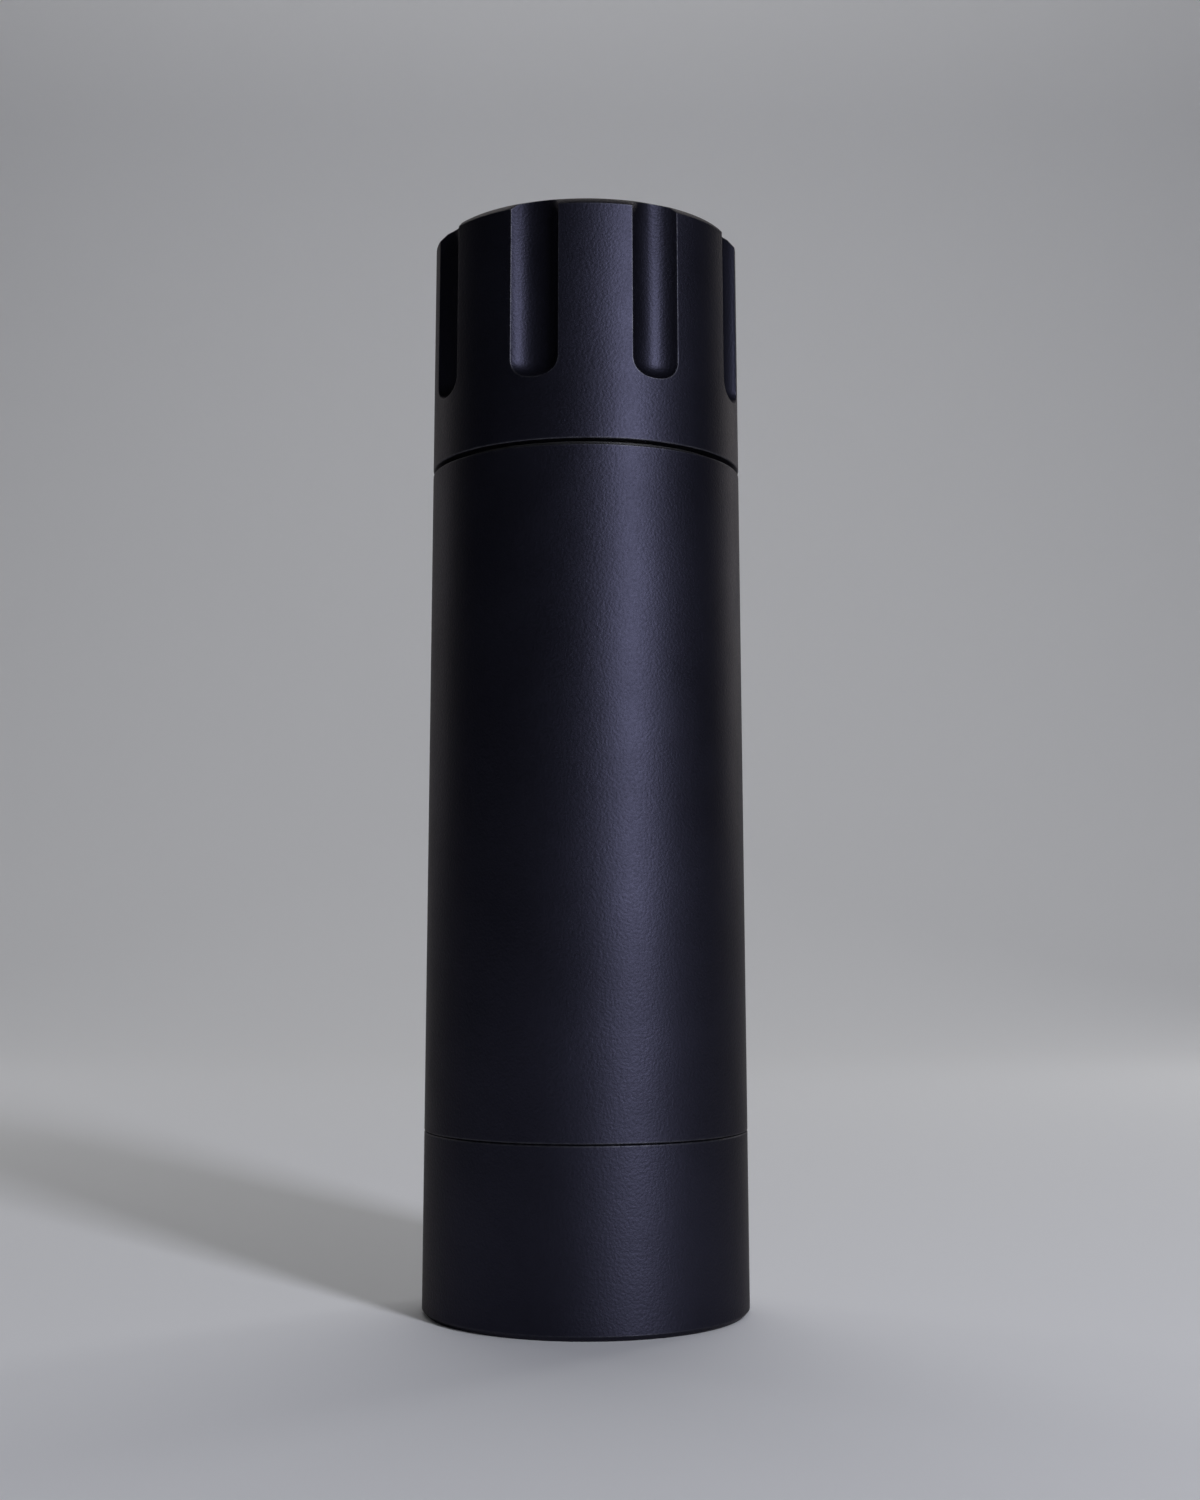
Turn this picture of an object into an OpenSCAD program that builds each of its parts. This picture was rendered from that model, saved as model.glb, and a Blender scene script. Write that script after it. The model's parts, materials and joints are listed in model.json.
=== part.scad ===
// Crank-top pepper mill, turned from black anodised aluminium.
// Millimetres, +Z up. The origin is the centre of the face that the mill stands on.
// A catch cup plugs onto the burr housing, and the body tube above it is the peppercorn hopper.
// The fluted cap turns a steel shaft that runs in two ball bearings and drives the inner burr.
// A push button in the cap frees three balls that lock the cap to the shaft.

/* [Outside] */
// Outside diameter of cup, tube and cap
mill_d = 56; // [54:0.5:62]
// Height of the catch cup, up to the lower seam
cup_h = 30; // [28:0.5:40]
// Height of the body tube, between the seams
tube_h = 115.6; // [95:0.2:160]
// Height of the cap, above the upper seam
cap_h = 44; // [43:0.5:50]
// Open seam between the body tube and the cap
cap_gap = 0.9; // [0.6:0.1:1.4]
// Chamfer round the top of the cap
top_chamfer = 1.2; // [0.5:0.1:2]
// Width of the sloping crown inside that chamfer
crown_w = 1.4; // [0.5:0.1:3]
// Height that the crown rises
crown_h = 0.55; // [0.1:0.05:1]
// Chamfer round the foot of the cup
foot_chamfer = 0.8; // [0.4:0.1:1.6]
// Broken edge on each side of a seam
edge_break = 0.15; // [0.1:0.05:0.5]

/* [Grip flutes] */
// Number of flutes round the cap
flute_count = 8; // [6:1:10]
// Radius of the round-bottomed flute
flute_r = 5.5; // [4.5:0.1:7]
// Depth of a flute below the cap's outside
flute_depth = 2.55; // [1.5:0.05:2.8]
// Plain band left below the flutes
flute_foot = 11.2; // [8:0.1:16]
// Radius at the lower end of a flute
flute_end_r = 3.6; // [2:0.1:4.2]

/* [Walls] */
// Wall of the tube and the cup where they are bored out
wall = 3; // [2.8:0.1:3.2]
// Floor of the catch cup
cup_floor = 3.5; // [3:0.25:5]
// Length of the burr housing that plugs into the cup
spigot_l = 9.5; // [9:0.25:11]

/* [Bearings] */
// Bore of both ball bearings
bearing_bore = 8; // [8:8]
// Outside diameter of both ball bearings
bearing_od = 22; // [22:22]
// Width of both ball bearings
bearing_w = 7; // [7:7]
// Balls in each bearing
ball_count = 7; // [6:1:7]

/* [Burrs and grind setting] */
// Fine teeth round each burr
tooth_count = 36; // [24:2:40]
// Breaker flutes on the inner burr
breaker_count = 6; // [4:1:7]
// Height of the outer burr
outer_burr_h = 17; // [16:0.5:18]
// Thumb scallops round the grind adjuster
scallop_count = 12; // [8:1:14]

/* [Release] */
// Travel of the push button
button_travel = 3.5; // [2.5:0.1:3.5]
// Diameter of the push button
button_d = 18; // [17.5:0.25:18.5]

/* [Hidden] */
$fn = 96;

eps = 0.01;                     // overshoot of a cutter past the face it opens
slip = 0.05;                    // radial clearance of a part that slides or drops in

// Radii of the outside and of the bores in the tube and the cup
mill_r = mill_d / 2;
bore_r = mill_r - wall;
hopper_r = bore_r - 0.75;
carrier_r = bore_r - slip;
spigot_r = bore_r - 0.3;
seam_slit = 0.05;               // half of the closed lower seam

// Heights of the seams and of the top
tube_top = cup_h + tube_h;
cap_z = tube_top + cap_gap;
top_z = cap_z + cap_h;

// The lower stack: burr housing, then the spider with the lower bearing
housing_z = cup_h - spigot_l;
lower_spider_z = cup_h + 28;
spider_h = 10;
upper_spider_z = tube_top - 13.6;
bearing_lift = 1;               // height of a bearing above the foot of its spider
lower_bearing_z = lower_spider_z + bearing_lift;
upper_bearing_z = upper_spider_z + bearing_lift;

// Bearing proportions
ball_r = 2;
ball_orbit_r = 7.5;
race_r = ball_r + 0.03;
inner_land_r = 6;
outer_land_r = 9;

// Spiders
spider_ring_r = bore_r - 2.6;
spider_hub_r = bearing_od / 2 + 2.4;
spider_lip_r = 9.6;
spider_arm_w = 5;

// Snap ring and glide washer at the top of the tube
snap_z = upper_spider_z + spider_h + 0.1;
snap_t = 1.2;
snap_groove_r = bore_r + 1.2;
washer_seat_r = mill_r - 2;
washer_seat_z = tube_top - 0.9;

// Drive shaft
shaft_r = 5;
seat_r = bearing_bore / 2 - 0.01;
hex_af = 6.9;
thread_r = 3;
shaft_foot = cup_h - 18.5;
lower_hex_z = cup_h - 9.4;
seat_foot = lower_spider_z - 1;
lower_shoulder_z = lower_bearing_z + bearing_w;
seat_top = upper_bearing_z + bearing_w + 1.6;
nose_z = cap_z + 18.5;
nose_r = 3.2;
nose_top = cap_z + 33.5;
circlip_t = 0.9;
circlip_groove_r = 3.7;
circlip_heights = [lower_bearing_z - circlip_t - 0.1, upper_bearing_z + bearing_w + 0.1];

// Burrs
inner_burr_z = cup_h - 5.4;
inner_burr_h = 22.4;
inner_burr_r = 15.2;
outer_burr_z = cup_h - 5;
outer_burr_top = outer_burr_z + outer_burr_h;
outer_burr_r = 21.5;
outer_burr_bore_r = inner_burr_r + 0.4;
outer_burr_mouth_r = 16.8;
burr_screw_r = 19.3;            // radius of the circle of the burr screws
burr_screws = 3;
throat_z = outer_burr_top + 6;

// Grind adjuster, from its underside up
adjuster_z = cup_h - 17.5;
adjuster_r = 12;
thrust_washer_t = 0.6;
adjuster_top = inner_burr_z - thrust_washer_t;
adjuster_thread_z = adjuster_z + 2;
adjuster_clear_z = adjuster_z + 6.5;

// Cap, hub and release, from the cap's lower rim up
flute_phase = 26;               // where the cap was last left, the first flute's angle from +X
cap_cavity_r = mill_r - 4.8;
core_z = cap_z + 23.5;
core_bore_r = 12;
plate_z = cap_z + 37.9;
button_r = button_d / 2;
button_bore_r = button_r + 0.08;
hub_z = cap_z + 2;
hub_socket_r = 9;
hub_flange_r = 18;
hub_flange_t = 4;
hub_neck_r = 6.3;
hub_neck_top = cap_z + 34.5;
hub_screw_r = 14.5;             // radius of the circle of the hub screws
hub_screws_n = 4;

// Ball lock: the balls sit in the hub's neck and reach into the groove of the shaft's nose
lock_ball_r = 2;
lock_balls = 3;
lock_phase = -90;
lock_z = cap_z + 28.5;
lock_orbit_r = 4.58;
lock_fit = 0.04;                // clearance all round a lock ball
sleeve_z = lock_z - 1.2;
sleeve_r = 8.6;
sleeve_bore_r = lock_orbit_r + lock_ball_r + 0.1;
sleeve_slope = 0.22;            // widening of the sleeve's bore per mm of height
sleeve_cone_top = lock_z + button_travel + 0.5;
sleeve_top_r = sleeve_bore_r + sleeve_slope * (sleeve_cone_top - lock_z);
sleeve_flange_r = 11.4;
sleeve_top = plate_z + 1.8;

// Springs
burr_spring_r = 5.4;
burr_spring_wire = 0.6;
button_spring_r = 10.05;
button_spring_wire = 0.65;

black_anodised = [0.07, 0.07, 0.09];
black_inside = [0.11, 0.11, 0.13];
steel = [0.70, 0.71, 0.73];
dark_steel = [0.42, 0.43, 0.45];
brass_colour = [0.78, 0.62, 0.32];
black_rubber = [0.05, 0.05, 0.05];
black_nylon = [0.09, 0.09, 0.10];
natural_nylon = [0.86, 0.85, 0.78];

// A turned part from an outline of [radius, height] points
module turned(outline) {
    rotate_extrude() polygon(outline);
}

// A plain ring with its lower face at z
module ring(z, inner, outer, t) {
    translate([0, 0, z]) difference() {
        cylinder(r = outer, h = t);
        translate([0, 0, -eps]) cylinder(r = inner, h = t + 2 * eps);
    }
}

// A hexagonal bar, across_flats wide
module hex_bar(z, across_flats, l) {
    translate([0, 0, z]) cylinder(r = across_flats / sqrt(3), h = l, $fn = 6);
}

// Copies round the Z axis
module around(count, phase = 0) {
    for (i = [0 : count - 1]) rotate([0, 0, phase + i * 360 / count]) children();
}

// ---------------------------------------------------------------- outside shells

module base_cup() {
    rim = cup_h - seam_slit;
    rest_inner_r = 20;
    recess = 0.6;
    corner = 2;
    lead_in = 0.6;
    color(black_anodised) turned([
        [0, recess], [rest_inner_r, recess], [rest_inner_r + recess, 0],
        [mill_r - foot_chamfer, 0], [mill_r, foot_chamfer],
        [mill_r, rim - edge_break], [mill_r - edge_break, rim],
        [bore_r + lead_in, rim], [bore_r, rim - lead_in],
        [bore_r, cup_floor + corner], [bore_r - corner, cup_floor], [0, cup_floor]
    ]);
}

module body_tube() {
    foot = cup_h + seam_slit;
    lower_shoulder = lower_spider_z + spider_h;
    color(black_anodised) turned([
        [bore_r, foot], [mill_r - edge_break, foot], [mill_r, foot + edge_break],
        [mill_r, tube_top - edge_break], [mill_r - edge_break, tube_top],
        [washer_seat_r, tube_top], [washer_seat_r, washer_seat_z], [bore_r, washer_seat_z],
        [bore_r, snap_z + snap_t + slip], [snap_groove_r, snap_z + snap_t + slip],
        [snap_groove_r, snap_z - slip], [bore_r, snap_z - slip],
        [bore_r, upper_spider_z], [hopper_r, upper_spider_z],
        [hopper_r, lower_shoulder], [bore_r, lower_shoulder]
    ]);
}

// A round-ended cutting bar that stands on the origin
module flute_cutter() {
    flat_r = flute_r - flute_end_r;
    rotate_extrude() intersection() {
        union() {
            square([flat_r, cap_h]);
            translate([flat_r, flute_end_r]) circle(r = flute_end_r);
            translate([0, flute_end_r]) square([flute_r, cap_h]);
        }
        square([flute_r, cap_h]);
    }
}

module cap() {
    rim_width = 0.3;
    cavity_corner = 2;
    cap_tap_r = 1.55;
    cap_tap_l = 9;
    crown_z = top_z - crown_h;
    color(black_anodised) difference() {
        turned([
            [cap_cavity_r, cap_z], [mill_r - edge_break, cap_z], [mill_r, cap_z + edge_break],
            [mill_r, crown_z - top_chamfer], [mill_r - top_chamfer, crown_z],
            [mill_r - top_chamfer - crown_w, top_z],
            [button_bore_r + rim_width, top_z], [button_bore_r, top_z - rim_width],
            [button_bore_r, plate_z], [core_bore_r, plate_z], [core_bore_r, core_z],
            [cap_cavity_r - cavity_corner, core_z], [cap_cavity_r, core_z - cavity_corner]
        ]);
        around(flute_count, flute_phase)
            translate([mill_r + flute_r - flute_depth, 0, cap_z + flute_foot]) flute_cutter();
        around(hub_screws_n) translate([hub_screw_r, 0, core_z - eps])
            cylinder(r = cap_tap_r, h = cap_tap_l);
    }
}

// ---------------------------------------------------------------- body tube fittings

module glide_washer() {
    color(black_nylon)
        ring(washer_seat_z, bore_r + slip, washer_seat_r - slip, cap_z - 0.1 - washer_seat_z);
}

module upper_snap_ring() {
    inner_r = bore_r - 1.6;
    lug_r = 1.9;
    lug_hole_r = 0.75;
    lug_turn = 11;
    color(dark_steel) translate([0, 0, snap_z]) difference() {
        union() {
            difference() {
                ring(0, inner_r, snap_groove_r - slip, snap_t);
                translate([inner_r - 1, 0, -1])
                    linear_extrude(snap_t + 2) polygon([[-inner_r, 0], [12, -7], [12, 7]]);
            }
            for (side = [-1, 1]) rotate([0, 0, side * (lug_turn + 4)])
                translate([inner_r - 0.6, 0, 0]) cylinder(r = lug_r, h = snap_t);
        }
        for (side = [-1, 1]) rotate([0, 0, side * (lug_turn + 4)])
            translate([inner_r - 0.6, 0, -1]) cylinder(r = lug_hole_r, h = snap_t + 2);
    }
}

// A three-armed bearing carrier that peppercorns fall through
module spider(z) {
    arm_z = 1;
    arm_h = 8;
    hub_h = bearing_w + 2;
    color(black_inside) translate([0, 0, z]) difference() {
        union() {
            ring(0, spider_ring_r, carrier_r, spider_h);
            cylinder(r = spider_hub_r, h = hub_h);
            around(3, 90) translate([spider_hub_r - 1, -spider_arm_w / 2, arm_z])
                cube([spider_ring_r - spider_hub_r + 2, spider_arm_w, arm_h]);
        }
        translate([0, 0, -eps]) cylinder(r = spider_lip_r, h = spider_h);
        translate([0, 0, bearing_lift]) cylinder(r = bearing_od / 2 + 0.02, h = spider_h);
    }
}

module burr_housing() {
    throat_r = outer_burr_mouth_r + 0.4;
    funnel_r = carrier_r - 1.5;
    seat_r = outer_burr_r + slip;
    step_z = cup_h + seam_slit;
    color(black_inside) difference() {
        turned([
            [seat_r, housing_z + 0.4], [seat_r + 0.4, housing_z],
            [spigot_r - 0.8, housing_z], [spigot_r, housing_z + 0.8],
            [spigot_r, step_z], [carrier_r, step_z],
            [carrier_r, lower_spider_z], [funnel_r, lower_spider_z], [funnel_r, lower_spider_z - 1],
            [throat_r, throat_z], [throat_r, outer_burr_top], [seat_r, outer_burr_top]
        ]);
        for (z = o_ring_heights()) ring(z - 1, spigot_r - 1.2, spigot_r + 1, 2);
        around(burr_screws, 30) translate([burr_screw_r, 0, outer_burr_top - 1])
            cylinder(r = 1.3, h = 6.6);
    }
}

function o_ring_heights() = [housing_z + 2.9, housing_z + 6.7];

module cup_o_rings() {
    cord_r = 0.72;
    color(black_rubber) for (z = o_ring_heights())
        translate([0, 0, z]) rotate_extrude() translate([bore_r - slip - cord_r, 0]) circle(r = cord_r);
}

// ---------------------------------------------------------------- ball bearings

module bearing_outer_ring(z) {
    corner = 0.3;
    od = bearing_od / 2;
    color(steel) translate([0, 0, z]) difference() {
        turned([
            [outer_land_r, 0], [od - corner, 0], [od, corner],
            [od, bearing_w - corner], [od - corner, bearing_w], [outer_land_r, bearing_w]
        ]);
        translate([0, 0, bearing_w / 2]) rotate_extrude()
            translate([ball_orbit_r, 0]) circle(r = race_r);
    }
}

module bearing_inner_ring(z) {
    color(steel) translate([0, 0, z]) difference() {
        ring(0, bearing_bore / 2, inner_land_r, bearing_w);
        translate([0, 0, bearing_w / 2]) rotate_extrude()
            translate([ball_orbit_r, 0]) circle(r = race_r);
    }
}

module bearing_balls(z) {
    color(steel) around(ball_count)
        translate([ball_orbit_r, 0, z + bearing_w / 2]) sphere(r = ball_r);
}

module bearing_cage(z) {
    cage_h = 5;
    color(brass_colour) difference() {
        ring(z + (bearing_w - cage_h) / 2, ball_orbit_r - 0.6, ball_orbit_r + 0.6, cage_h);
        around(ball_count) translate([ball_orbit_r, 0, z + bearing_w / 2]) sphere(r = ball_r + 0.1);
    }
}

module bearing_shields(z) {
    shield_t = 0.3;
    color(dark_steel) for (lift = [0.25, bearing_w - 0.25 - shield_t])
        ring(z + lift, inner_land_r + 0.2, outer_land_r - 0.02, shield_t);
}

// ---------------------------------------------------------------- shaft

module shaft_bar(z_low, z_high, r) {
    translate([0, 0, z_low]) cylinder(r = r, h = z_high - z_low);
}

module drive_shaft() {
    tip = 0.6;
    color(steel) difference() {
        union() {
            translate([0, 0, shaft_foot]) cylinder(r1 = thread_r - tip, r2 = thread_r, h = tip, $fn = 64);
            shaft_bar(shaft_foot + tip, lower_hex_z, thread_r);
            hex_bar(lower_hex_z, hex_af, seat_foot - lower_hex_z);
            shaft_bar(seat_foot, lower_shoulder_z, seat_r);
            shaft_bar(lower_shoulder_z, upper_bearing_z, shaft_r);
            shaft_bar(upper_bearing_z, seat_top, seat_r);
            hex_bar(seat_top, hex_af, nose_z - seat_top);
            shaft_bar(nose_z, nose_top - tip, nose_r);
            translate([0, 0, nose_top - tip]) cylinder(r1 = nose_r, r2 = nose_r - tip, h = tip, $fn = 64);
        }
        for (z = circlip_heights) ring(z - 0.02, circlip_groove_r, shaft_r + 1, circlip_t + 0.04);
        translate([0, 0, lock_z]) rotate_extrude()
            translate([lock_orbit_r, 0]) circle(r = lock_ball_r + lock_fit);
    }
}

// Open rings that snap into the grooves of the shaft
module circlips() {
    color(dark_steel) for (z = circlip_heights) difference() {
        ring(z, circlip_groove_r + 0.02, inner_land_r, circlip_t);
        translate([0, 0, z - 1]) linear_extrude(circlip_t + 2) polygon([[0, 0], [9, -5], [9, 5]]);
    }
}

module spring_washer() {
    color(steel) ring(seat_foot + 0.1, seat_r + 0.12, 7.5, 0.8);
}

// ---------------------------------------------------------------- springs

// A helical spring of round wire with its ends at z_low and z_high, swept as one closed solid
module coil_spring(z_low, z_high, coil_r, wire_r, turns, sides = 8, rings_per_turn = 20) {
    steps = turns * rings_per_turn;
    rise = (z_high - z_low - 2 * wire_r) / steps;
    points = [
        for (i = [0 : steps]) for (k = [0 : sides - 1])
            let (turn = i * 360 / rings_per_turn, around_wire = k * 360 / sides,
                 r = coil_r + wire_r * cos(around_wire))
            [r * cos(turn), r * sin(turn), z_low + wire_r + i * rise + wire_r * sin(around_wire)]
    ];
    walls = [
        for (i = [0 : steps - 1]) for (k = [0 : sides - 1])
            let (next = (k + 1) % sides)
            [i * sides + k, (i + 1) * sides + k, (i + 1) * sides + next, i * sides + next]
    ];
    ends = [[for (k = [0 : sides - 1]) k], [for (k = [sides - 1 : -1 : 0]) steps * sides + k]];
    polyhedron(points, concat(walls, ends));
}

module burr_spring() {
    color(steel) coil_spring(inner_burr_z + inner_burr_h, seat_foot + 0.1,
                             burr_spring_r, burr_spring_wire, 5);
}

module button_spring() {
    color(steel) coil_spring(core_z, plate_z - 1.5, button_spring_r, button_spring_wire, 5);
}

// ---------------------------------------------------------------- burrs and grind setting

// A V-shaped cutter that lies along Z with its edge at the origin's side
module vee_cutter(width, depth, l) {
    translate([0, 0, -l / 2]) linear_extrude(l)
        polygon([[-depth, 0], [1, -width / 2 * (1 + 1 / depth)], [1, width / 2 * (1 + 1 / depth)]]);
}

module inner_burr() {
    cone_foot = 5;
    cone_top_r = 8.6;
    neck_r = 6.6;
    tooth_depth = 0.9;
    slant = 14;
    breaker_slant = 32;
    breaker_r = 3.1;
    color(steel) difference() {
        translate([0, 0, inner_burr_z]) turned([
            [0, 0], [inner_burr_r - 0.5, 0], [inner_burr_r, 0.5], [inner_burr_r - 0.8, cone_foot],
            [cone_top_r, inner_burr_h - 4], [neck_r, inner_burr_h - 3], [neck_r, inner_burr_h],
            [0, inner_burr_h]
        ]);
        around(tooth_count) translate([inner_burr_r, 0, inner_burr_z + 3])
            rotate([slant, -9, 0]) vee_cutter(1.5, tooth_depth, 12);
        around(breaker_count) translate([inner_burr_r - 0.4, 0, inner_burr_z + 14])
            rotate([breaker_slant, -22, 0]) cylinder(r = breaker_r, h = 18, center = true);
        hex_bar(inner_burr_z - 1, hex_af + 0.1, inner_burr_h + 2);
    }
}

module outer_burr() {
    mouth_z = outer_burr_z + 6;
    head_r = 2.2;
    tooth_depth = 0.8;
    color(dark_steel) difference() {
        turned([
            [outer_burr_bore_r, outer_burr_z], [outer_burr_r - 0.4, outer_burr_z],
            [outer_burr_r, outer_burr_z + 0.4], [outer_burr_r, outer_burr_top],
            [outer_burr_mouth_r, outer_burr_top], [outer_burr_bore_r, mouth_z]
        ]);
        around(tooth_count) translate([outer_burr_bore_r, 0, outer_burr_z + 7])
            rotate([-12, 4, 180]) vee_cutter(1.6, tooth_depth, 24);
        around(burr_screws, 30) translate([burr_screw_r, 0, outer_burr_z - 1]) {
            cylinder(r = 1.35, h = outer_burr_h + 2);
            cylinder(r = head_r, h = 3.2);
        }
    }
}

// A socket-head screw that points up, with the underside of its head at z
module screw(z, head_r, head_h, shank_r, shank_l, key_af) {
    difference() {
        union() {
            translate([0, 0, z - head_h]) cylinder(r = head_r, h = head_h);
            translate([0, 0, z - eps]) cylinder(r = shank_r, h = shank_l);
        }
        hex_bar(z - head_h - eps, key_af, head_h * 0.6);
    }
}

module outer_burr_screws() {
    head_seat = outer_burr_z + 2.2;
    color(steel) around(burr_screws, 30) translate([burr_screw_r, 0, 0])
        screw(head_seat, 2.1, 2, 1.25, outer_burr_h - 2.2 + 5, 2);
}

module thrust_washer() {
    color(brass_colour) ring(adjuster_top, 4.2, 8.5, thrust_washer_t);
}

module grind_adjuster() {
    insert_pocket_r = 5;
    scallop_r = 1.7;
    color(steel) difference() {
        turned([
            [0, adjuster_z + 0.4], [8, adjuster_z], [adjuster_r - 0.8, adjuster_z],
            [adjuster_r, adjuster_z + 0.8], [adjuster_r, adjuster_top - 1.8],
            [8.5, adjuster_top], [0, adjuster_top]
        ]);
        shaft_bar(adjuster_z - 1, adjuster_thread_z, insert_pocket_r);
        shaft_bar(adjuster_z - 1, adjuster_top, thread_r + slip);
        shaft_bar(adjuster_clear_z, adjuster_top + 1, 4.25);
        around(scallop_count) translate([adjuster_r + 0.8, 0, adjuster_z - 1])
            cylinder(r = scallop_r, h = adjuster_top - adjuster_z + 2);
    }
}

module adjuster_lock_insert() {
    color(natural_nylon) ring(adjuster_z + 0.4, thread_r + 0.03, 5 - 0.02, 1.58);
}

// ---------------------------------------------------------------- cap drive and release

module cap_hub() {
    lead_in = 1;
    hub_hex = hex_af + 0.2;
    hub_corner_r = hub_hex / sqrt(3);
    hex_chamfer = 0.3;
    lead_in_h = lead_in + hex_chamfer;
    screw_clear_r = 1.6;
    color(steel) difference() {
        union() {
            translate([0, 0, hub_z]) turned([
                [0, 0], [hub_socket_r - 0.8, 0], [hub_socket_r, 0.8],
                [hub_socket_r, core_z - hub_z - hub_flange_t],
                [hub_flange_r - 0.5, core_z - hub_z - hub_flange_t],
                [hub_flange_r, core_z - hub_z - hub_flange_t + 0.5],
                [hub_flange_r, core_z - hub_z], [0, core_z - hub_z]
            ]);
            shaft_bar(core_z - 1, hub_neck_top, hub_neck_r);
        }
        hex_bar(hub_z - 1, hub_hex, nose_z - hub_z + 2);
        translate([0, 0, hub_z - eps])
            cylinder(r1 = hub_corner_r + lead_in, r2 = hub_corner_r - hex_chamfer, h = lead_in_h, $fn = 64);
        shaft_bar(hub_z, hub_neck_top + 1, nose_r + 0.1);
        around(lock_balls, lock_phase) translate([lock_orbit_r, 0, lock_z]) {
            sphere(r = lock_ball_r + lock_fit);
            rotate([0, 90, 0]) cylinder(r = lock_ball_r + lock_fit, h = 5);
        }
        around(hub_screws_n) translate([hub_screw_r, 0, core_z - hub_flange_t - 1])
            cylinder(r = screw_clear_r, h = hub_flange_t + 2);
    }
}

module hub_screws() {
    color(steel) around(hub_screws_n) translate([hub_screw_r, 0, 0])
        screw(core_z - hub_flange_t, 2.75, 2.6, 1.5, 11.5, 2.5);
}

module lock_ball(number) {
    color(steel) rotate([0, 0, lock_phase + number * 360 / lock_balls])
        translate([lock_orbit_r, 0, lock_z]) sphere(r = lock_ball_r);
}

// The sleeve's bore widens upwards, so pushing it down lets the balls move out
module release_sleeve() {
    flange_z = plate_z - 1.5;
    color(dark_steel) turned([
        [sleeve_bore_r, sleeve_z], [sleeve_r - 0.4, sleeve_z], [sleeve_r, sleeve_z + 0.4],
        [sleeve_r, flange_z], [sleeve_flange_r, flange_z], [sleeve_flange_r, plate_z],
        [sleeve_r, plate_z], [sleeve_r, sleeve_top], [sleeve_top_r, sleeve_top],
        [sleeve_top_r, sleeve_cone_top], [sleeve_bore_r, lock_z]
    ]);
}

module push_button() {
    stub_l = 1.6;
    button_top = top_z - 0.3;
    dish_r = 42;
    dish_depth = 0.7;
    color(black_anodised) difference() {
        turned([
            [0, sleeve_top - stub_l], [sleeve_top_r - slip, sleeve_top - stub_l],
            [sleeve_top_r - slip, sleeve_top], [button_r, sleeve_top],
            [button_r, button_top - 0.5], [button_r - 0.5, button_top], [0, button_top]
        ]);
        translate([0, 0, button_top + dish_r - dish_depth]) sphere(r = dish_r);
    }
}

// ---------------------------------------------------------------- nodes

base_cup();
body_tube();
glide_washer();
burr_housing();
cup_o_rings();
outer_burr();
outer_burr_screws();
spider(upper_spider_z);  // upper_spider
upper_snap_ring();
spider(lower_spider_z);  // lower_spider
bearing_outer_ring(upper_bearing_z);  // upper_bearing_outer_ring
bearing_shields(upper_bearing_z);  // upper_bearing_shields
bearing_cage(upper_bearing_z);  // upper_bearing_cage
bearing_balls(upper_bearing_z);  // upper_bearing_balls
bearing_inner_ring(upper_bearing_z);  // upper_bearing_inner_ring
bearing_outer_ring(lower_bearing_z);  // lower_bearing_outer_ring
bearing_shields(lower_bearing_z);  // lower_bearing_shields
bearing_cage(lower_bearing_z);  // lower_bearing_cage
bearing_balls(lower_bearing_z);  // lower_bearing_balls
bearing_inner_ring(lower_bearing_z);  // lower_bearing_inner_ring
drive_shaft();
circlips();
spring_washer();
burr_spring();
inner_burr();
thrust_washer();
grind_adjuster();
adjuster_lock_insert();
cap();
cap_hub();
hub_screws();
lock_ball(0);  // lock_ball_a
lock_ball(1);  // lock_ball_b
lock_ball(2);  // lock_ball_c
button_spring();
release_sleeve();
push_button();
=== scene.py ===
"""The look of the pepper mill: finishes for every piece, softened outer edges, stage, lights and camera.

Lengths are metres in the row's frame: the mill stands on z = 0 and is seen from the -Y side.
"""
import math

import bmesh
import bpy
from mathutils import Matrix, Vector
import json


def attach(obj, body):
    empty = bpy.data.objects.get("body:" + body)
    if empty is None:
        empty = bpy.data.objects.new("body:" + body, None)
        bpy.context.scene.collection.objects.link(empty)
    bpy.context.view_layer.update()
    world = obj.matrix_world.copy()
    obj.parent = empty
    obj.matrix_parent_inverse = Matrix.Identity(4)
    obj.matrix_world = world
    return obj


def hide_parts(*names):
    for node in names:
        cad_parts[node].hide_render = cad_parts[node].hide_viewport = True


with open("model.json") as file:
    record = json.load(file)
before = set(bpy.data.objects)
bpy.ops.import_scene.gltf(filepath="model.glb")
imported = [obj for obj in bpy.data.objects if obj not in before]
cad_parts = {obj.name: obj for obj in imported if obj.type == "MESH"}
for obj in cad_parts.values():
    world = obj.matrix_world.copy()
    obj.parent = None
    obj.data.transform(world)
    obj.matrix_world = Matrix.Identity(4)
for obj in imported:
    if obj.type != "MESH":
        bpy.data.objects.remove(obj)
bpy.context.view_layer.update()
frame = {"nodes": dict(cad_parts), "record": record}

MM = 0.001
nodes = frame["nodes"]


# ------------------------------------------------------------------ shader building blocks

# The Mix node's sockets for colours go by number, because several of its sockets share a name.
MIX_FACTOR = 0
MIX_FIRST = 6
MIX_SECOND = 7
MIX_RESULT = 2


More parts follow.
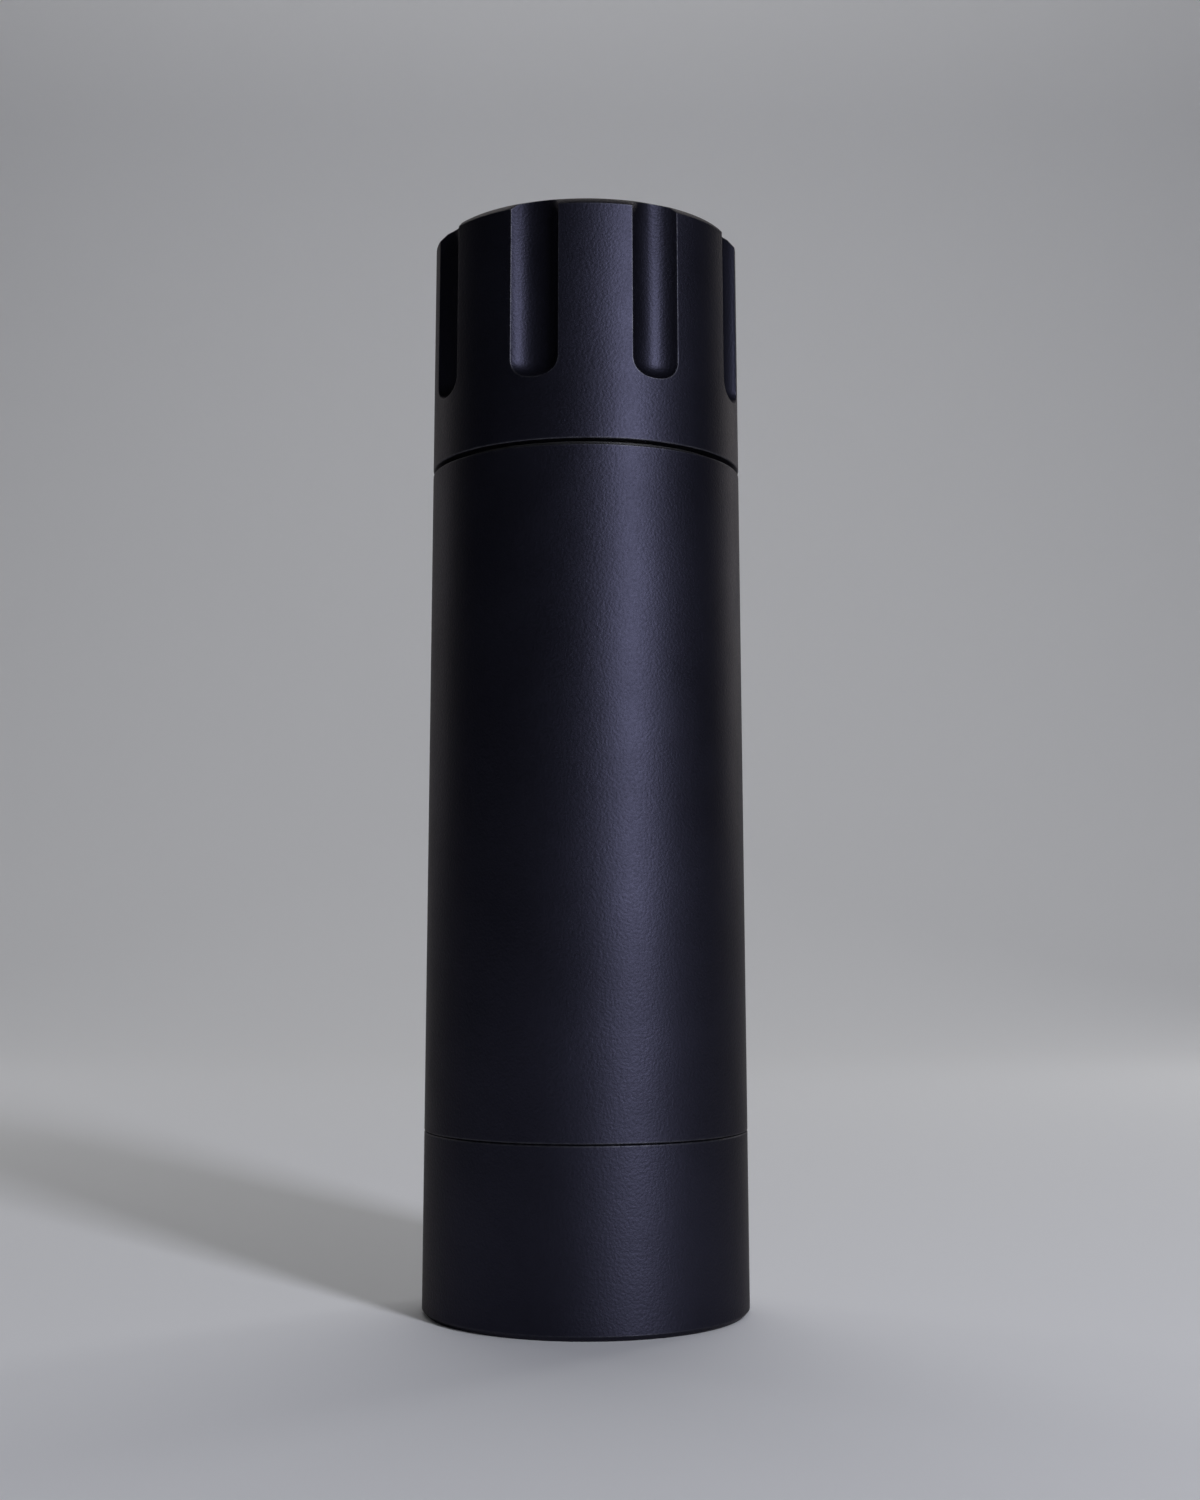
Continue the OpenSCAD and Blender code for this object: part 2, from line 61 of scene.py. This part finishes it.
class Tree:
    """A material's node tree with short calls for the few nodes that the finishes share."""

    def __init__(self, name):
        self.material = bpy.data.materials.new(name)
        self.material.use_nodes = True
        self.tree = self.material.node_tree
        self.shader = self.tree.nodes["Principled BSDF"]
        self.place = self.add("ShaderNodeTexCoord").outputs["Object"]

    def add(self, kind, **inputs):
        """Adds a node. An input is a value, or the output socket of another node."""
        node = self.tree.nodes.new(kind)
        for name, value in inputs.items():
            self.put(node.inputs[name.replace("_", " ")], value)
        return node

    def put(self, socket, value):
        """Links the input socket to value where that is an output socket, and sets it otherwise."""
        if isinstance(value, bpy.types.NodeSocket):
            self.tree.links.new(value, socket)
        else:
            socket.default_value = value

    def noise(self, size, detail=2.0, where=None):
        """Noise between 0 and 1 whose blotches are about size metres across."""
        node = self.add("ShaderNodeTexNoise", Vector=where or self.place, Scale=1 / size, Detail=detail)
        return node.outputs["Fac"]

    def ramp(self, value, low, high, to_low=0.0, to_high=1.0):
        """Maps value from low..high to to_low..to_high and holds it at the ends."""
        node = self.add("ShaderNodeMapRange", Value=value)
        for name, number in (("From Min", low), ("From Max", high), ("To Min", to_low), ("To Max", to_high)):
            node.inputs[name].default_value = number
        return node.outputs["Result"]

    def math(self, operation, first, second=0.0):
        """The result of one step of arithmetic. An operation on one value leaves second out."""
        node = self.add("ShaderNodeMath")
        node.operation = operation
        for socket, value in zip(node.inputs, (first, second)):
            self.put(socket, value)
        return node.outputs["Value"]

    def blend(self, factor, first, second):
        """The colour first where factor is 0 and second where it is 1."""
        node = self.add("ShaderNodeMix")
        node.data_type = "RGBA"
        self.put(node.inputs[MIX_FACTOR], factor)
        self.put(node.inputs[MIX_FIRST], rgba(first))
        self.put(node.inputs[MIX_SECOND], rgba(second))
        return node.outputs[MIX_RESULT]

    def turned_place(self):
        """Coordinates that don't change round the Z axis, for the marks of a lathe."""
        split = self.add("ShaderNodeSeparateXYZ", Vector=self.place)
        x, y, z = (split.outputs[axis] for axis in "XYZ")
        squares = self.math("ADD", self.math("MULTIPLY", x, x), self.math("MULTIPLY", y, y))
        return self.add("ShaderNodeCombineXYZ", X=self.math("SQRT", squares), Z=z).outputs["Vector"]

    def edges(self, radius):
        """1 on outer edges, fading to 0 at about radius from them. It looks for the next face from inside."""
        edge_mark_starts = 0.95  # the share of the directions into the piece that meet no face within radius
        edge_mark_is_full = 0.6
        solid = self.add("ShaderNodeAmbientOcclusion", Distance=radius)
        solid.inside = True
        solid.only_local = True
        solid.samples = 8
        return self.ramp(solid.outputs["AO"], edge_mark_starts, edge_mark_is_full)

    def bump(self, height, depth, below=None):
        """Raises the surface by up to depth metres where height is 1, on top of the bumps in below."""
        node = self.add("ShaderNodeBump", Strength=1.0, Distance=depth, Height=height)
        if below is not None:
            self.put(node.inputs["Normal"], below)
        return node.outputs["Normal"]

    def set(self, **values):
        """Sets sockets of the surface shader."""
        for name, value in values.items():
            self.put(self.shader.inputs[name.replace("_", " ")], value)


def rgba(colour):
    """A colour triple with its alpha. A socket is passed through."""
    return (*colour, 1.0) if isinstance(colour, tuple) else colour


# ------------------------------------------------------------------ finishes

# colour is the clean surface and patchy its faint clouds. The edge colour, where a finish has it, shows at
# outer edges as rubbed wear; on black anodised it is also a painted highlight along the edges.

def anodised(name, colour, patchy, edge_colour):
    """Bead-blasted and anodised aluminium: a metal's tinted sheen under an even, fine peened grain."""
    look = Tree(name)
    cloud = look.ramp(look.noise(22 * MM, detail=3), low=0.35, high=0.65)
    # Painted highlight: outer edges take the lighter edge colour. It is partly rubbed wear and partly a
    # painted highlight for the light that the rounded edges catch. Noise makes it patchy.
    edge_mark_patches = look.ramp(look.noise(1.1 * MM), low=0.3, high=0.6, to_low=0.35)
    wear_and_edge_highlight = look.math("MULTIPLY", look.edges(0.3 * MM), edge_mark_patches)
    smear = look.ramp(look.noise(9 * MM, detail=4), low=0.45, high=0.75, to_low=0.45, to_high=0.48)
    grain = look.noise(0.44 * MM, detail=3)
    grain_sheen = look.ramp(grain, low=0.3, high=0.7, to_low=-0.03, to_high=0.03)
    waves = look.bump(look.noise(1.4 * MM), 0.012 * MM)
    look.set(
        Base_Color=look.blend(wear_and_edge_highlight, look.blend(cloud, colour, patchy), edge_colour),
        Roughness=look.math("ADD", smear, grain_sheen),
        Metallic=0.95,
        Specular_Tint=(0.62, 0.6, 0.57, 1.0),
        Normal=look.bump(grain, 0.055 * MM, below=waves),
    )
    return look.material


def machined(name, colour, patchy, edge_colour, roughness, pitch, depth, metallic=1.0, lathe=True):
    """Bare or coated metal with tool marks: rings of a lathe, or the even scratches of a mill."""
    look = Tree(name)
    along = look.turned_place() if lathe else look.place
    marks = look.noise(pitch, detail=3, where=along)
    marks_sheen = look.ramp(marks, low=0.3, high=0.7, to_low=roughness - 0.05, to_high=roughness + 0.05)
    cloud = look.ramp(look.noise(6 * MM, detail=3), low=0.35, high=0.65)
    scratches = look.noise(0.5 * MM, detail=5)
    scratch_sheen = look.ramp(scratches, low=0.4, high=0.7, to_high=0.06)
    look.set(
        Base_Color=look.blend(look.edges(0.2 * MM), look.blend(cloud, colour, patchy), edge_colour),
        Roughness=look.math("ADD", marks_sheen, scratch_sheen),
        Metallic=metallic,
        Normal=look.bump(marks, depth, below=look.bump(scratches, 0.3 * depth)),
    )
    return look.material


def polished(name, colour, patchy, roughness):
    """Ground and polished metal with a faint film of oil."""
    look = Tree(name)
    film = look.ramp(look.noise(2.5 * MM, detail=4), low=0.4, high=0.7)
    look.set(
        Base_Color=look.blend(film, colour, patchy),
        Roughness=look.ramp(film, low=0, high=1, to_low=roughness, to_high=roughness + 0.07),
        Metallic=1.0,
        Normal=look.bump(look.noise(0.08 * MM), 0.0004 * MM),
    )
    return look.material


def moulded(name, colour, patchy, edge_colour, roughness, grain_size, depth):
    """Rubber or nylon with the fine skin of its mould."""
    look = Tree(name)
    cloud = look.ramp(look.noise(4 * MM, detail=3), low=0.35, high=0.7)
    skin = look.noise(grain_size)
    look.set(
        Base_Color=look.blend(look.edges(0.15 * MM), look.blend(cloud, colour, patchy), edge_colour),
        Roughness=look.ramp(skin, low=0.3, high=0.7, to_low=roughness - 0.06, to_high=roughness + 0.06),
        Normal=look.bump(skin, depth),
    )
    return look.material


FINISHES = {
    # The light edge colour of black anodised is partly wear and partly a painted edge highlight.
    "black_anodised": anodised(
        "black_anodised", colour=(0.0235, 0.0235, 0.036), patchy=(0.028, 0.028, 0.043),
        edge_colour=(0.2, 0.2, 0.21)),
    "inner_anodised": machined(
        "inner_anodised", colour=(0.045, 0.045, 0.052), patchy=(0.06, 0.06, 0.068), edge_colour=(0.16, 0.16, 0.17),
        roughness=0.38, pitch=0.25 * MM, depth=0.004 * MM, metallic=0.9),
    "steel": machined(
        "turned_steel", colour=(0.56, 0.555, 0.55), patchy=(0.5, 0.495, 0.49), edge_colour=(0.74, 0.735, 0.73),
        roughness=0.24, pitch=0.18 * MM, depth=0.002 * MM),
    "burr_steel": machined(
        "burr_steel", colour=(0.3, 0.295, 0.29), patchy=(0.23, 0.222, 0.215), edge_colour=(0.58, 0.575, 0.57),
        roughness=0.34, pitch=0.3 * MM, depth=0.004 * MM, lathe=False),
    "screw_steel": machined(
        "screw_steel", colour=(0.42, 0.42, 0.425), patchy=(0.36, 0.36, 0.365), edge_colour=(0.62, 0.62, 0.62),
        roughness=0.3, pitch=0.12 * MM, depth=0.002 * MM, lathe=False),
    "spring_steel": machined(
        "spring_steel", colour=(0.27, 0.265, 0.26), patchy=(0.2, 0.195, 0.19), edge_colour=(0.45, 0.445, 0.44),
        roughness=0.3, pitch=0.1 * MM, depth=0.0015 * MM, lathe=False),
    "shield_steel": machined(
        "shield_steel", colour=(0.46, 0.46, 0.465), patchy=(0.4, 0.4, 0.405), edge_colour=(0.6, 0.6, 0.6),
        roughness=0.36, pitch=0.15 * MM, depth=0.0015 * MM),
    "bearing_steel": polished(
        "bearing_steel", colour=(0.64, 0.64, 0.645), patchy=(0.54, 0.53, 0.51), roughness=0.09),
    "brass": machined(
        "brass", colour=(0.6, 0.42, 0.17), patchy=(0.5, 0.34, 0.12), edge_colour=(0.78, 0.6, 0.3),
        roughness=0.27, pitch=0.15 * MM, depth=0.002 * MM),
    "rubber": moulded(
        "rubber", colour=(0.018, 0.018, 0.019), patchy=(0.027, 0.027, 0.028), edge_colour=(0.05, 0.05, 0.05),
        roughness=0.52, grain_size=0.12 * MM, depth=0.003 * MM),
    "black_nylon": moulded(
        "black_nylon", colour=(0.022, 0.022, 0.024), patchy=(0.03, 0.03, 0.032), edge_colour=(0.06, 0.06, 0.062),
        roughness=0.46, grain_size=0.2 * MM, depth=0.004 * MM),
    "natural_nylon": moulded(
        "natural_nylon", colour=(0.74, 0.72, 0.64), patchy=(0.66, 0.63, 0.54), edge_colour=(0.82, 0.8, 0.73),
        roughness=0.42, grain_size=0.2 * MM, depth=0.004 * MM),
}

for part in frame["record"]["subparts"]:
    mesh = nodes[part["node"]].data
    mesh.materials.clear()
    mesh.materials.append(FINISHES[part["material_slot"]])


# ------------------------------------------------------------------ outside shells with softened edges

MERGE_DISTANCE = 0.0005 * MM
FLAT_ANGLE = math.radians(0.2)  # faces that meet at less than this become one
SHARP_ANGLE = math.radians(15)  # edges sharper than this are rounded off
ROUNDING_STEPS = 2
WALL_DEPTH = 0.05 * MM  # an outer wall's faces lie this close to the shell's largest radius
WALL_FACING = 0.998  # and the cosine of the angle between such a face's normal and the radius is above this


def shaded_round(mesh):
    """Gives the faces of a shell's outer wall the exact normals of a cylinder round the Z axis."""
    outside = max(vertex.co.xy.length for vertex in mesh.vertices)
    normals = [Vector()] * len(mesh.loops)  # a corner with a zero vector keeps the normal that it has
    for face in mesh.polygons:
        away = Vector((*face.center.xy, 0.0)).normalized()
        if face.center.xy.length > outside - WALL_DEPTH and face.normal.dot(away) > WALL_FACING:
            for corner in face.loop_indices:
                place = mesh.vertices[mesh.loops[corner].vertex_index].co
                normals[corner] = Vector((*place.xy, 0.0)).normalized()
    mesh.normals_split_custom_set(normals)


def softened(node, body, slot, radius):
    """A copy of a CAD node with every sharp edge rounded off, which is shown in the node's place."""
    source = nodes[node].data
    mesh = bpy.data.meshes.new(node + "_soft")
    mesh.from_pydata([v.co[:] for v in source.vertices], [], [p.vertices[:] for p in source.polygons])
    shape = bmesh.new()
    shape.from_mesh(mesh)
    bmesh.ops.remove_doubles(shape, verts=shape.verts, dist=MERGE_DISTANCE)
    bmesh.ops.dissolve_limit(shape, angle_limit=FLAT_ANGLE, verts=shape.verts, edges=shape.edges)
    for face in shape.faces:
        face.smooth = True
    shape.to_mesh(mesh)
    shape.free()
    piece = bpy.data.objects.new(node + "_soft", mesh)
    bpy.context.scene.collection.objects.link(piece)
    mesh.materials.append(FINISHES[slot])
    bevel = piece.modifiers.new("edge_break", "BEVEL")
    bevel.width = radius
    bevel.segments = ROUNDING_STEPS
    bevel.limit_method = "ANGLE"
    bevel.angle_limit = SHARP_ANGLE
    bevel.use_clamp_overlap = False
    rounded = piece.evaluated_get(bpy.context.evaluated_depsgraph_get())
    piece.data = bpy.data.meshes.new_from_object(rounded)
    piece.modifiers.clear()
    bpy.data.meshes.remove(mesh)
    shaded_round(piece.data)
    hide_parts(node)
    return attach(piece, body)


softened("cap", "cap", "black_anodised", radius=0.08 * MM)
softened("body_tube", "housing", "black_anodised", radius=0.06 * MM)
softened("base_cup", "cup", "black_anodised", radius=0.06 * MM)
softened("push_button", "button", "black_anodised", radius=0.1 * MM)


# ------------------------------------------------------------------ stage, lights and camera

def stage_sweep():
    """A pale floor that curves up into a plain backdrop well behind the mill."""
    half_width, front, back, top = 3.0, -2.5, 1.6, 3.0
    bend = 0.9
    steps = 24
    outline = [(front, 0.0), (back - bend, 0.0)]
    for i in range(1, steps + 1):
        turn = math.radians(90 * i / steps)
        outline.append((back - bend + bend * math.sin(turn), bend - bend * math.cos(turn)))
    outline.append((back, top))
    vertices = [(x, y, z) for y, z in outline for x in (-half_width, half_width)]
    faces = [(2 * i, 2 * i + 1, 2 * i + 3, 2 * i + 2) for i in range(len(outline) - 1)]
    mesh = bpy.data.meshes.new("floor")
    mesh.from_pydata(vertices, [], faces)
    for face in mesh.polygons:
        face.use_smooth = True
    paper = Tree("pale_paper")
    paper.set(Base_Color=(0.8, 0.8, 0.81, 1.0), Roughness=0.85)
    mesh.materials.append(paper.material)
    floor = bpy.data.objects.new("floor", mesh)
    bpy.context.scene.collection.objects.link(floor)


def softbox(name, place, aim, width, height, power, colour=(1.0, 1.0, 1.0)):
    """A rectangular studio light at place that faces aim."""
    lamp = bpy.data.lights.new(name, "AREA")
    lamp.shape = "RECTANGLE"
    lamp.size = width
    lamp.size_y = height
    lamp.energy = power
    lamp.color = colour
    box = bpy.data.objects.new(name, lamp)
    box.location = place
    box.rotation_euler = (Vector(aim) - Vector(place)).to_track_quat("-Z", "Y").to_euler()
    bpy.context.scene.collection.objects.link(box)


def round_mill(azimuth, distance, height):
    """A place at that distance from the mill's axis.

    Azimuth is in degrees. It is 0 on the camera's side and grows towards the camera's right.
    """
    turn = math.radians(azimuth)
    return (distance * math.sin(turn), -distance * math.cos(turn), height)


stage_sweep()
mid_height = (0.0, 0.0, 0.1)
upper_third = (0.0, 0.0, 0.14)
floor_behind = (0.0, 0.8, 0.0)
softbox("key_strip", round_mill(azimuth=33, distance=0.95, height=0.36), mid_height,
        width=0.13, height=0.8, power=8.4, colour=(0.88, 0.9, 1.0))
softbox("left_edge", round_mill(azimuth=-132, distance=0.8, height=0.42), upper_third,
        width=0.16, height=0.6, power=0.45)
softbox("right_edge", round_mill(azimuth=136, distance=0.8, height=0.42), upper_third,
        width=0.16, height=0.6, power=0.9)
softbox("overhead", (0.0, 1.25, 1.9), floor_behind, width=1.8, height=0.5, power=11.0)

world = bpy.data.worlds.new("studio")
world.use_nodes = True
background = world.node_tree.nodes["Background"]
background.inputs["Color"].default_value = (0.9, 0.95, 1.0, 1.0)
background.inputs["Strength"].default_value = 0.03
bpy.context.scene.world = world
bpy.context.scene.view_settings.view_transform = "Standard"

# The camera was fitted to the mill's outline in the photo. It looks up a little from below mid-height.
upward_tilt = 10.37
lens = bpy.data.cameras.new("camera")
lens.sensor_width = 36
lens.lens = 47.8
lens.shift_x = 0.0094
lens.shift_y = -0.12
lens.clip_start = 0.01
camera = bpy.data.objects.new("camera", lens)
camera.location = (0.0, -0.358, 0.0632)
camera.rotation_euler = (math.radians(90 + upward_tilt), 0.0, 0.0)
bpy.context.scene.collection.objects.link(camera)
bpy.context.scene.camera = camera
